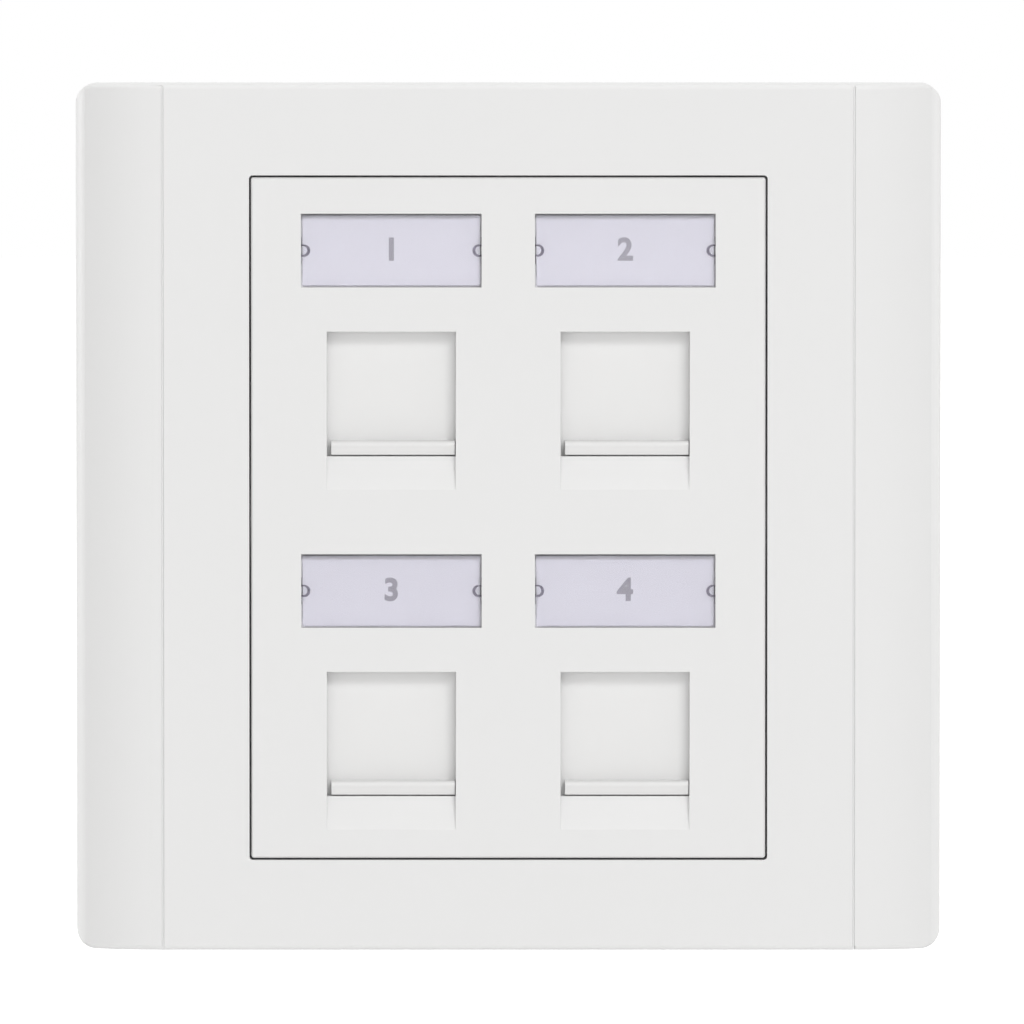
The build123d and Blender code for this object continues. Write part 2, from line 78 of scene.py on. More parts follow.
LOG = logging.getLogger("outlet")
MM = 0.001
PORTS = (1, 2, 3, 4)
OUTLET = "outlet"
MERGE_DISTANCE = 0.0005 * MM
FLAT_TURN = math.radians(0.4)
SHARP_TURN = math.radians(25.0)
ROUND_STEPS = 2
# A unit vector's least part along an axis, for it to count as running along it
ALONG = 0.9
# How two mixed patterns count
STRONG_SHARE, WEAK_SHARE = 0.6, 0.4
# The scales of coarser patterns, as shares of the fine ones
COARSE_SCALE = 0.22
CLOUD_SCALE = 0.12
# Radians that a wave pattern of scale 1 runs through in a metre
WAVE_RATE = 20.0
Triple = tuple[float, float, float]
Color = Triple


class Side(Enum):
    """The directions that pieces are built along."""

    RIGHT = Vector((1.0, 0.0, 0.0))
    BACK = Vector((0.0, 1.0, 0.0))
    UP = Vector((0.0, 0.0, 1.0))


# Shader trees
class Tree:
    """A node tree, with short ways to add nodes and join them."""

    def __init__(self, tree: bpy.types.NodeTree) -> None:
        """Keeps the tree."""
        self.tree = tree

    def node(self, kind: str, **settings: object) -> bpy.types.Node:
        """Adds a node.

        Args:
            kind: The node's type name.
            **settings: Properties to set on it.

        Returns:
            The new node.
        """
        made = self.tree.nodes.new(kind)
        for name, value in settings.items():
            setattr(made, name, value)
        return made

    def join(self, source: bpy.types.NodeSocket, target: bpy.types.NodeSocket) -> None:
        """Links an output to an input."""
        self.tree.links.new(source, target)

    def feed(self, target: bpy.types.NodeSocket, value: object) -> None:
        """Links a socket to an input, or sets the input's own value.

        Args:
            target: The input.
            value: An output socket, or a plain value.
        """
        if isinstance(value, bpy.types.NodeSocket):
            self.join(value, target)
        else:
            target.default_value = value

    def noise(self, vector: object, scale: object, detail: float = 2.0) -> bpy.types.NodeSocket:
        """Adds a noise pattern.

        Args:
            vector: The coordinates that it reads.
            scale: Features for each metre.
            detail: How many finer layers it has.

        Returns:
            The pattern's value, about 0.5 on average.
        """
        made = self.node("ShaderNodeTexNoise")
        self.feed(made.inputs["Vector"], vector)
        self.feed(made.inputs["Scale"], scale)
        made.inputs["Detail"].default_value = detail
        return made.outputs["Fac"]

    def maths(self, operation: str, first: object, second: object = 0.0) -> bpy.types.NodeSocket:
        """Adds a calculation on two values.

        Args:
            operation: Its name, such as MULTIPLY.
            first: A socket or a number.
            second: A socket or a number.

        Returns:
            The result.
        """
        made = self.node("ShaderNodeMath", operation=operation)
        self.feed(made.inputs[0], first)
        self.feed(made.inputs[1], second)
        return made.outputs[0]

    def effect(self, name: str, values: dict[str, object]) -> bpy.types.NodeOutputs:
        """Places a shared effect.

        Args:
            name: The effect's name.
            values: What its inputs get, by socket.

        Returns:
            Its outputs.
        """
        made = self.node("ShaderNodeGroup", node_tree=Effects.get(name))
        for socket, value in values.items():
            self.feed(made.inputs[socket], value)
        return made.outputs

    def mixed(self, strong: object, weak: object) -> bpy.types.NodeSocket:
        """Adds up two patterns, with more of the first.

        Args:
            strong: The pattern that counts more.
            weak: The pattern that counts less.

        Returns:
            The mixed pattern, from 0 to 1.
        """
        most = self.maths("MULTIPLY", strong, STRONG_SHARE)
        return self.maths("ADD", most, self.maths("MULTIPLY", weak, WEAK_SHARE))

    def spread(self, pattern: object, middle: object, reach: object) -> bpy.types.NodeSocket:
        """Turns a pattern from 0 to 1 into a value that strays from a middle.

        Args:
            pattern: The pattern.
            middle: The value where the pattern is 0.5.
            reach: How far the value strays at 0 and 1.

        Returns:
            The straying value.
        """
        doubled = self.maths("MULTIPLY", self.maths("SUBTRACT", pattern, 0.5), 2.0)
        return self.maths("ADD", self.maths("MULTIPLY", doubled, reach), middle)

    def tinted(self, color: object, tone: object) -> bpy.types.NodeSocket:
        """Multiplies a colour by a grey tone.

        Args:
            color: The colour.
            tone: The tone, 1 for no change.

        Returns:
            The toned colour.
        """
        made = self.node("ShaderNodeVectorMath", operation="SCALE")
        self.feed(made.inputs[0], color)
        self.feed(made.inputs["Scale"], tone)
        return made.outputs[0]


def new_group(name: str, *scales: str) -> tuple[Tree, dict, dict]:
    """Starts the node group of a surface effect.

    Args:
        name: The group's name.
        *scales: The names of the inputs that give its patterns' scales.

    Returns:
        The group's tree, the sockets that bring its inputs and the sockets that take its outputs.
    """
    inputs = {"Vector": "Vector", "Color": "Color", "Tone Spread": "Float", "Roughness": "Float",
              "Roughness Spread": "Float"} | dict.fromkeys(scales, "Float")
    outputs = {"Color": "Color", "Roughness": "Float", "Height": "Float"}
    group = bpy.data.node_groups.new(name, "ShaderNodeTree")
    for socket, kind in inputs.items():
        group.interface.new_socket(name=socket, in_out="INPUT", socket_type=f"NodeSocket{kind}")
    for socket, kind in outputs.items():
        group.interface.new_socket(name=socket, in_out="OUTPUT", socket_type=f"NodeSocket{kind}")
    tree = Tree(group)
    brought = tree.node("NodeGroupInput").outputs
    taken = tree.node("NodeGroupOutput").inputs
    return tree, {key: brought[key] for key in inputs}, {key: taken[key] for key in outputs}


def moulded_skin() -> bpy.types.NodeTree:
    """Makes the group for the skin of an injection moulding.

    Returns:
        A group that gives the plastic's flow marks, its gloss and the fine grain of the mould's surface.
    """
    tree, given, out = new_group("moulded skin", "Grain Scale", "Flow Scale")
    flow = tree.noise(given["Vector"], given["Flow Scale"], 3.0)
    grain = tree.noise(given["Vector"], given["Grain Scale"], 2.0)
    coarse = tree.noise(given["Vector"], tree.maths("MULTIPLY", given["Grain Scale"], COARSE_SCALE), 1.0)
    tree.join(tree.tinted(given["Color"], tree.spread(flow, 1.0, given["Tone Spread"])), out["Color"])
    patches = tree.mixed(flow, grain)
    tree.join(tree.spread(patches, given["Roughness"], given["Roughness Spread"]), out["Roughness"])
    tree.join(tree.mixed(grain, coarse), out["Height"])
    return tree.tree


def drawn_metal() -> bpy.types.NodeTree:
    """Makes the group for plated and drawn metal.

    Returns:
        A group that gives the metal's clouded tone, its gloss and fine lines along the stretched axis.
    """
    tree, given, out = new_group("drawn metal", "Line Scale")
    lines = tree.noise(given["Vector"], given["Line Scale"], 2.0)
    cloud = tree.noise(given["Vector"], tree.maths("MULTIPLY", given["Line Scale"], CLOUD_SCALE), 2.0)
    tree.join(tree.tinted(given["Color"], tree.spread(cloud, 1.0, given["Tone Spread"])), out["Color"])
    tree.join(tree.spread(lines, given["Roughness"], given["Roughness Spread"]), out["Roughness"])
    tree.join(lines, out["Height"])
    return tree.tree


class Effects:
    """The node groups that several finishes share, each built once."""

    _made: dict[str, bpy.types.NodeTree] = {}
    _makers = {"moulded skin": moulded_skin, "drawn metal": drawn_metal}

    @classmethod
    def get(cls, name: str) -> bpy.types.NodeTree:
        """Gives a group, and builds it the first time.

        Args:
            name: The group's name.

        Returns:
            The group.
        """
        if name not in cls._made:
            cls._made[name] = cls._makers[name]()
        return cls._made[name]


# Finishes
@dataclass(frozen=True)
class Finish(ABC):
    """What a piece's surface is made of. Its slot is the name that the record gives it."""

    slot: str
    color: Color

    def material(self) -> bpy.types.Material:
        """Builds the finish.

        Returns:
            A node material named for the slot.
        """
        made = bpy.data.materials.new(f"{self.slot}_finish")
        made.use_nodes = True
        made.node_tree.nodes.clear()
        tree = Tree(made.node_tree)
        place = tree.node("ShaderNodeTexCoord").outputs["Object"]
        surface = self.surface(tree, place)
        tree.join(surface, tree.node("ShaderNodeOutputMaterial").inputs["Surface"])
        made.diffuse_color = (*self.color, 1.0)
        return made

    @abstractmethod
    def surface(self, tree: Tree, place: bpy.types.NodeSocket) -> bpy.types.NodeSocket:
        """Adds the finish's nodes.

        Args:
            tree: The material's tree.
            place: The object coordinates.

        Returns:
            The shader's output.
        """

    def shader(self, tree: Tree, color: object, roughness: object, height: bpy.types.NodeSocket,
               depth: float) -> bpy.types.Node:
        """Adds the main shader, with its colour, gloss and relief.

        Args:
            tree: The material's tree.
            color: The colour, as a socket or a value.
            roughness: The roughness, as a socket or a value.
            height: The relief's pattern, from 0 to 1.
            depth: How deep the relief is.

        Returns:
            The shader's node.
        """
        bump = tree.node("ShaderNodeBump")
        bump.inputs["Strength"].default_value = 1.0
        bump.inputs["Distance"].default_value = depth
        tree.join(height, bump.inputs["Height"])
        made = tree.node("ShaderNodeBsdfPrincipled")
        tree.feed(made.inputs["Base Color"], color)
        tree.feed(made.inputs["Roughness"], roughness)
        tree.join(bump.outputs["Normal"], made.inputs["Normal"])
        return made


@dataclass(frozen=True)
class MouldedPlastic(Finish):
    """Injection-moulded plastic with a satin skin."""

    roughness: float = 0.42
    roughness_spread: float = 0.05
    tone_spread: float = 0.006
    grain_size: float = 0.16 * MM
    grain_depth: float = 0.0035 * MM
    flow_size: float = 14 * MM
    ior: float = 1.5

    def surface(self, tree: Tree, place: bpy.types.NodeSocket) -> bpy.types.NodeSocket:
        """Adds the plastic's shader, with its skin's tone, gloss and grain.

        Args:
            tree: The material's tree.
            place: The object coordinates.

        Returns:
            The shader's output.
        """
        skin = tree.effect("moulded skin", {
            "Vector": place, "Color": (*self.color, 1.0), "Tone Spread": self.tone_spread,
            "Roughness": self.roughness, "Roughness Spread": self.roughness_spread,
            "Grain Scale": 1.0 / self.grain_size, "Flow Scale": 1.0 / self.flow_size})
        made = self.shader(tree, skin["Color"], skin["Roughness"], skin["Height"], self.grain_depth)
        made.inputs["IOR"].default_value = self.ior
        return made.outputs["BSDF"]


@dataclass(frozen=True)
class PlatedMetal(Finish):
    """Plated or drawn metal."""

    roughness: float = 0.25
    roughness_spread: float = 0.08
    tone_spread: float = 0.06
    line_size: float = 0.05 * MM
    line_depth: float = 0.001 * MM
    stretch: Triple = (1.0, 1.0, 1.0)

    def surface(self, tree: Tree, place: bpy.types.NodeSocket) -> bpy.types.NodeSocket:
        """Adds the metal's shader, with its lines stretched along one axis.

        Args:
            tree: The material's tree.
            place: The object coordinates.

        Returns:
            The shader's output.
        """
        mapping = tree.node("ShaderNodeMapping")
        tree.join(place, mapping.inputs["Vector"])
        mapping.inputs["Scale"].default_value = self.stretch
        metal = tree.effect("drawn metal", {
            "Vector": mapping.outputs["Vector"], "Color": (*self.color, 1.0),
            "Tone Spread": self.tone_spread, "Roughness": self.roughness,
            "Roughness Spread": self.roughness_spread, "Line Scale": 1.0 / self.line_size})
        made = self.shader(tree, metal["Color"], metal["Roughness"], metal["Height"], self.line_depth)
        made.inputs["Metallic"].default_value = 1.0
        return made.outputs["BSDF"]


@dataclass(frozen=True)
class ClearPlastic(Finish):
    """The clear, faintly violet plastic of the label windows."""

    roughness: float = 0.03
    clearness: float = 1.0
    shadow_tint: Color = (0.97, 0.96, 0.99)
    ior: float = 1.49
    ripple_size: float = 3.0 * MM
    ripple_depth: float = 0.002 * MM

    def surface(self, tree: Tree, place: bpy.types.NodeSocket) -> bpy.types.NodeSocket:
        """Adds a clear shader that lets the light through to the card behind it.

        Args:
            tree: The material's tree.
            place: The object coordinates.

        Returns:
            The shader's output.
        """
        ripple = tree.noise(place, 1.0 / self.ripple_size, 1.0)
        made = self.shader(tree, (*self.color, 1.0), self.roughness, ripple, self.ripple_depth)
        made.inputs["IOR"].default_value = self.ior
        made.inputs["Transmission Weight"].default_value = self.clearness
        passing = tree.node("ShaderNodeBsdfTransparent")
        passing.inputs["Color"].default_value = (*self.shadow_tint, 1.0)
        mix = tree.node("ShaderNodeMixShader")
        tree.join(tree.node("ShaderNodeLightPath").outputs["Is Shadow Ray"], mix.inputs["Fac"])
        tree.join(made.outputs["BSDF"], mix.inputs[1])
        tree.join(passing.outputs["BSDF"], mix.inputs[2])
        return mix.outputs["Shader"]


@dataclass(frozen=True)
class Card(Finish):
    """Uncoated card, with its fibres and a soft mottle."""

    fibre_size: float = 0.12 * MM
    mottle_size: float = 1.5 * MM
    tone_spread: float = 0.02
    roughness: float = 0.85
    roughness_spread: float = 0.08
    shine: float = 0.2
    fibre_depth: float = 0.01 * MM

    def surface(self, tree: Tree, place: bpy.types.NodeSocket) -> bpy.types.NodeSocket:
        """Adds the card's shader.

        Args:
            tree: The material's tree.
            place: The object coordinates.

        Returns:
            The shader's output.
        """
        fibres = tree.noise(place, 1.0 / self.fibre_size, 3.0)
        mottle = tree.noise(place, 1.0 / self.mottle_size, 2.0)
        pattern = tree.maths("MULTIPLY", tree.maths("ADD", fibres, mottle), 0.5)
        color = tree.tinted(self.color, tree.spread(pattern, 1.0, self.tone_spread))
        roughness = tree.spread(fibres, self.roughness, self.roughness_spread)
        made = self.shader(tree, color, roughness, fibres, self.fibre_depth)
        made.inputs["Specular IOR Level"].default_value = self.shine
        return made.outputs["BSDF"]


@dataclass(frozen=True)
class Laminate(Finish):
    """A circuit board: green solder mask over copper tracks and glass cloth."""

    track_color: Color = (0.07, 0.33, 0.16)
    track_pitch: float = 1.02 * MM
    track_edge: float = 0.6
    track_waver: float = 0.6
    cloth_size: float = 0.35 * MM
    tone_spread: float = 0.12
    roughness: float = 0.3
    roughness_spread: float = 0.08
    relief: float = 0.02 * MM

    def surface(self, tree: Tree, place: bpy.types.NodeSocket) -> bpy.types.NodeSocket:
        """Adds the board's shader, with tracks that run up the board.

        Args:
            tree: The material's tree.
            place: The object coordinates.

        Returns:
            The shader's output.
        """
        tracks = tree.node("ShaderNodeTexWave", wave_type="BANDS", bands_direction="X", wave_profile="SIN")
        tree.join(place, tracks.inputs["Vector"])
        tracks.inputs["Scale"].default_value = math.tau / (WAVE_RATE * self.track_pitch)
        tracks.inputs["Distortion"].default_value = self.track_waver
        copper = tree.maths("GREATER_THAN", tracks.outputs["Fac"], self.track_edge)
        cloth = tree.noise(place, 1.0 / self.cloth_size, 1.0)
        mix = tree.node("ShaderNodeMix", data_type="RGBA")
        tree.join(copper, mix.inputs["Factor"])
        mix.inputs["A"].default_value = (*self.color, 1.0)
        mix.inputs["B"].default_value = (*self.track_color, 1.0)
        color = tree.tinted(mix.outputs["Result"], tree.spread(cloth, 1.0, self.tone_spread))
        roughness = tree.spread(cloth, self.roughness, self.roughness_spread)
        return self.shader(tree, color, roughness, copper, self.relief).outputs["BSDF"]


WHITE: Color = (0.793, 0.794, 0.797)
FINISHES = (
    MouldedPlastic("cover_plastic", WHITE),
    MouldedPlastic("insert_plastic", WHITE, roughness=0.4),
    MouldedPlastic("shutter_plastic", (0.80, 0.80, 0.80), roughness=0.36),
    ClearPlastic("label_window", (0.965, 0.96, 0.985)),
    Card("label_paper", (0.637, 0.635, 0.682)),
    PlatedMetal("spring_wire", (0.62, 0.62, 0.63), roughness=0.28, stretch=(1.0, 1.0, 4.0)),
    MouldedPlastic("carrier_plastic", (0.72, 0.72, 0.70), roughness=0.5, tone_spread=0.015,
                   grain_depth=0.006 * MM),
    PlatedMetal("screw_steel", (0.66, 0.65, 0.62), roughness=0.3, stretch=(1.0, 5.0, 1.0)),
    MouldedPlastic("jack_plastic", (0.77, 0.77, 0.75), roughness=0.45, tone_spread=0.012),
    MouldedPlastic("comb_plastic", (0.045, 0.045, 0.05), roughness=0.45, tone_spread=0.05),
    PlatedMetal("contact_gold", (0.86, 0.65, 0.28), roughness=0.2, stretch=(5.0, 1.0, 5.0)),
    Laminate("board_laminate", (0.03, 0.21, 0.09)),
    MouldedPlastic("terminal_plastic", (0.035, 0.036, 0.04), roughness=0.42, tone_spread=0.05),
    PlatedMetal("blade_bronze", (0.74, 0.68, 0.55), roughness=0.3),
    MouldedPlastic("cap_plastic", (0.76, 0.76, 0.75), roughness=0.35, tone_spread=0.012),
)


class Wardrobe:
    """The finished materials, by slot, each built once."""

    def __init__(self, finishes: Iterable[Finish]) -> None:
        """Builds every finish.

        Args:
            finishes: One finish for each slot of the record.
        """
        self.materials = {finish.slot: finish.material() for finish in finishes}
        self.ink = Card("label_ink", (0.27, 0.26, 0.30), tone_spread=0.12).material()
        # Painted shade: a darker violet grey for the clear covers' steep faces, standing in for the dark
        # lines that shadow and refraction draw at their edges and dimples.
        edge = ClearPlastic("window_edge", (0.33, 0.31, 0.38), roughness=0.2, clearness=0.3)
        self.window_edge = edge.material()

    def dress(self, node: str) -> None:
        """Gives a construction node its finished material in place of the plain one.

        Args:
            node: The node's name.
        """
        holder = frame["nodes"][node]
        for slot in holder.material_slots:
            slot.material = self.materials[self.slot_of(node)]
        LOG.info("dressed %s", node)

    def slot_of(self, node: str) -> str:
        """Gives the record's slot of a node."""
        return next(part["material_slot"] for part in frame["record"]["subparts"] if part["node"] == node)


# Meshes
def gathered(parts: Iterable[bmesh.types.BMesh]) -> bmesh.types.BMesh:
    """Brings several meshes together in one, with their faces outwards, and frees them.

    Args:
        parts: The meshes, in their final places.

    Returns:
        The mesh that holds them all.
    """
    whole = bmesh.new()
    for part in parts:
        mesh = bpy.data.meshes.new("part")
        part.to_mesh(mesh)
        part.free()
        whole.from_mesh(mesh)
        bpy.data.meshes.remove(mesh)
    bmesh.ops.recalc_face_normals(whole, faces=whole.faces)
    return whole


def drawn_out(bm: bmesh.types.BMesh, faces: list[bmesh.types.BMFace], way: Vector) -> list:
    """Draws some faces out along a straight way.

    Args:
        bm: The mesh that holds them.
        faces: The faces.
        way: How far they move, and where to.

    Returns:
        The faces, edges and corners at the far end.
    """
    ends = bmesh.ops.extrude_face_region(bm, geom=faces)["geom"]
    moved = [item for item in ends if isinstance(item, bmesh.types.BMVert)]
    bmesh.ops.translate(bm, vec=way, verts=moved)
    return ends


def stage_mesh(bm: bmesh.types.BMesh, name: str) -> bpy.types.Object:
    """Makes an object of a finished mesh, in the scene, and frees the bmesh.

    Args:
        bm: The mesh, in its final place.
        name: The object's name.

    Returns:
        The object, at the origin.
    """
    mesh = bpy.data.meshes.new(name)
    bm.to_mesh(mesh)
    bm.free()
    made = bpy.data.objects.new(name, mesh)
    bpy.context.scene.collection.objects.link(made)
    return made


class SmoothCopy:
    """A joined copy of a construction mesh, which keeps the way that its curved faces point."""

    def __init__(self, source: bpy.types.Mesh) -> None:
        """Copies the mesh, keeps each face corner's direction and joins its loose triangles.

        Args:
            source: The construction mesh.
        """
        self.bm = bmesh.new()
        self.bm.from_mesh(source)
        self.kept = self.bm.loops.layers.float_vector.new("kept")
        for face, polygon in zip(self.bm.faces, source.polygons):
            for loop, index in zip(face.loops, polygon.loop_indices):
                loop[self.kept] = source.corner_normals[index].vector
        bmesh.ops.remove_doubles(self.bm, verts=self.bm.verts, dist=MERGE_DISTANCE)
        bmesh.ops.dissolve_limit(self.bm, angle_limit=FLAT_TURN, use_dissolve_boundaries=False,
                                 verts=self.bm.verts, edges=self.bm.edges)

    def turn(self, edge: bmesh.types.BMEdge) -> float:
        """Gives the angle between the two surfaces that meet at an edge.

        Args:
            edge: The edge.

        Returns:
            The larger of the angles at its two ends.
        """
        first, second = edge.link_loops
        near = first[self.kept].angle(second.link_loop_next[self.kept], 0.0)
        far = first.link_loop_next[self.kept].angle(second[self.kept], 0.0)
        return max(near, far)

    def round_edges(self, radius: float) -> None:
        """Rounds the sharp edges, and sets the directions of the new faces.

        Args:
            radius: The rounding's reach on each side of an edge.
        """
        chosen = [edge for edge in self.bm.edges if self.turn(edge) > SHARP_TURN]
        rounded = bmesh.ops.bevel(self.bm, geom=chosen, offset=radius, offset_type="OFFSET",
                                  segments=ROUND_STEPS, profile=0.5, affect="EDGES", clamp_overlap=False,
                                  material=-1, loop_slide=False)
        fresh = set(rounded["faces"])
        self.bm.normal_update()
        for vert in {vert for face in fresh for vert in face.verts}:
            known = [loop[self.kept] for loop in vert.link_loops if loop.face not in fresh]
            joined = sum(known, Vector()).normalized() if known else vert.normal
            for loop in vert.link_loops:
                if loop.face in fresh:
                    loop[self.kept] = joined

    def redirect(self, faces: Iterable[bmesh.types.BMFace]) -> None:
        """Turns the kept directions of reshaped faces to their new slopes, smoothly from one to the next.

        Args:
            faces: The faces.
        """
        reshaped = set(faces)
        self.bm.normal_update()
        for vert in {vert for face in reshaped for vert in face.verts}:
            near = [face for face in vert.link_faces if face in reshaped]
            joined = sum((face.normal for face in near), Vector()).normalized()
            for loop in vert.link_loops:
                if loop.face in reshaped:
                    loop[self.kept] = joined

    def staged(self, name: str) -> bpy.types.Object:
        """Makes an object of the copy, with its kept directions.

        Args:
            name: The object's name.

        Returns:
            The object, at the origin.
        """
        for face in self.bm.faces:
            face.smooth = True
        directions = [loop[self.kept].normalized() for face in self.bm.faces for loop in face.loops]
        self.bm.loops.layers.float_vector.remove(self.kept)
        made = stage_mesh(self.bm, name)
        made.data.normals_split_custom_set(directions)
        return made


@dataclass
class Piece(ABC):
    """A sub-assembly. Its pieces take their places from the construction nodes."""

    wardrobe: Wardrobe

    @abstractmethod
    def build(self) -> None:
        """Builds the pieces and dresses them."""

    def install(self, made: bpy.types.Object, slot: str, body: str, *nodes: str) -> bpy.types.Object:
        """Gives a piece its material and body, and hides the nodes that it stands for.

        Args:
            made: The piece.
            slot: The record's slot for its finish.
            body: The body that it moves with.
            *nodes: The construction nodes that it replaces.

        Returns:
            The piece.
        """
        if not made.data.materials:
            made.data.materials.append(self.wardrobe.materials[slot])
        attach(made, body)
        if nodes:
            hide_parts(*nodes)
        LOG.info("%s: %d faces on %s", made.name, len(made.data.polygons), body)
        return made

    def soften(self, node: str, body: str, radius: float) -> bpy.types.Object:
        """Replaces a construction node by a copy whose sharp edges are rounded, as a mould leaves them.

        Args:
            node: The node.
            body: The body that carries it.
            radius: The rounding's reach on each side of an edge.

        Returns:
            The rounded piece.
        """
        copied = SmoothCopy(frame["nodes"][node].data)
        copied.round_edges(radius)
        return self.install(copied.staged(f"{node}_moulding"), self.wardrobe.slot_of(node), body, node)


@dataclass
class Front(Piece):
    """The cover frame and the face insert."""

    cover_round: float = 0.06 * MM
    insert_round: float = 0.035 * MM

    def build(self) -> None:
        """Rounds the two mouldings."""
        self.soften("cover_frame", OUTLET, self.cover_round)
        self.soften("face_insert", OUTLET, self.insert_round)


@dataclass
class Label(Piece):
    """One label: its card with the port's number, and the clear cover.

    The rim and bottom shares are of the radius that the construction node gives its dimples.
    """

    port: int
    air_gap: float = 0.02 * MM
    digit_height: float = 2.15 * MM
    digit_share: float = 0.7
    digit_weight: float = 0.035
    ink_thickness: float = 0.006 * MM
    cover_round: float = 0.06 * MM
    corner_round: float = 0.25 * MM
    corner_steps: int = 4
    edge_facing: float = 0.85
    dimple_radius: float = 0.7 * MM
    dimple_depth: float = 0.45 * MM
    rim_share: float = 0.86
    bottom_share: float = 0.64
    search_share: float = 1.1
    wall_margin: float = 0.01

    def card(self) -> bpy.types.Object:
        """Builds the printed card.

        Returns:
            The card and its number, as one piece.
        """
        node = f"label_card_{self.port}"
        low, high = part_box(node)
        back, front = high.y, low.y + self.air_gap
        bm = bmesh.new()
        bmesh.ops.create_cube(bm, size=1.0)
        size = Vector((high.x - low.x, back - front, high.z - low.z))
        middle = Vector(((low.x + high.x) / 2, (back + front) / 2, (low.z + high.z) / 2))
        fitted = Matrix.Translation(middle) @ Matrix.Diagonal((*size, 1.0))
        bmesh.ops.transform(bm, matrix=fitted, verts=bm.verts)
        corners = [e for e in bm.edges if abs((e.verts[0].co - e.verts[1].co).normalized().y) > ALONG]
        bmesh.ops.bevel(bm, geom=corners, offset=self.corner_round, segments=self.corner_steps, profile=0.5,
                        affect="EDGES", material=-1)
        for face in self.number(bm, Vector((middle.x, front, middle.z))):
            face.material_index = 1
        made = stage_mesh(bm, f"label_slip_{self.port}")
        made.data.materials.append(self.wardrobe.materials["label_paper"])
        made.data.materials.append(self.wardrobe.ink)
        return self.install(made, "label_paper", OUTLET, node)

    def number(self, bm: bmesh.types.BMesh, place: Vector) -> list[bmesh.types.BMFace]:
        """Prints the port's number on the card.

        Args:
            bm: The card's mesh.
            place: The middle of the card's front.

        Returns:
            The number's faces.
        """
        text = bpy.data.curves.new("number", "FONT")
        text.body = str(self.port)
        text.align_x = "CENTER"
        text.align_y = "CENTER"
        text.size = self.digit_height / self.digit_share
        text.offset = self.digit_weight * text.size
        text.extrude = self.ink_thickness / 2
        holder = bpy.data.objects.new("number", text)
        printed = bpy.data.meshes.new_from_object(holder)
        bpy.data.objects.remove(holder)
        printed.transform(Matrix.Translation(place) @ Matrix.Rotation(math.pi / 2, 4, "X"))
        known = set(bm.faces)
        bm.from_mesh(printed)
        bpy.data.meshes.remove(printed)
        return [face for face in bm.faces if face not in known]

    def slope_dimples(self, copied: SmoothCopy) -> None:
        """Gives the pry dimples sloping walls, narrower at the bottom than at the rim.

        Args:
            copied: The cover's mesh.
        """
        low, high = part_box(f"label_cover_{self.port}")
        middle = (low + high) / 2
        reach = self.search_share * self.dimple_radius
        verts = [vert for vert in copied.bm.verts if abs(vert.co.z - middle.z) < reach]
        floor = [vert for vert in verts if abs(vert.co.y - low.y - self.dimple_depth) < MERGE_DISTANCE]
        rim = [vert for vert in verts if abs(vert.co.y - low.y) < MERGE_DISTANCE]
        end = max(abs(vert.co.x - middle.x) for vert in floor)
        for ring, share in ((floor, self.bottom_share), (rim, self.rim_share)):
            for vert in ring:
                edge = Vector((middle.x + math.copysign(end, vert.co.x - middle.x), vert.co.y, middle.z))
                vert.co = edge + share * (vert.co - edge)
        walls = {face for vert in floor for face in vert.link_faces
                 if any(other in rim for other in face.verts) and abs(face.normal.x) < 1 - self.wall_margin}
        copied.redirect(walls)

    def window(self) -> bpy.types.Object:
        """Rounds the clear cover and paints its top and bottom edges and pry dimples a darker violet grey,
        as painted shade for the dark lines there.

        Returns:
            The cover.
        """
        node = f"label_cover_{self.port}"
        copied = SmoothCopy(frame["nodes"][node].data)
        self.slope_dimples(copied)
        copied.round_edges(self.cover_round)
        made = copied.staged(f"{node}_moulding")
        made.data.materials.append(self.wardrobe.materials["label_window"])
        made.data.materials.append(self.wardrobe.window_edge)
        # Painted shade: the steep faces, other than those facing left or right, get the darker violet grey.
        for face in made.data.polygons:
            sloping = abs(face.normal.y) < self.edge_facing
            face.material_index = int(sloping and abs(face.normal.x) < ALONG)
        return self.install(made, "label_window", OUTLET, node)

    def build(self) -> None:
        """Builds the card and the clear cover."""
        self.card()
        self.window()


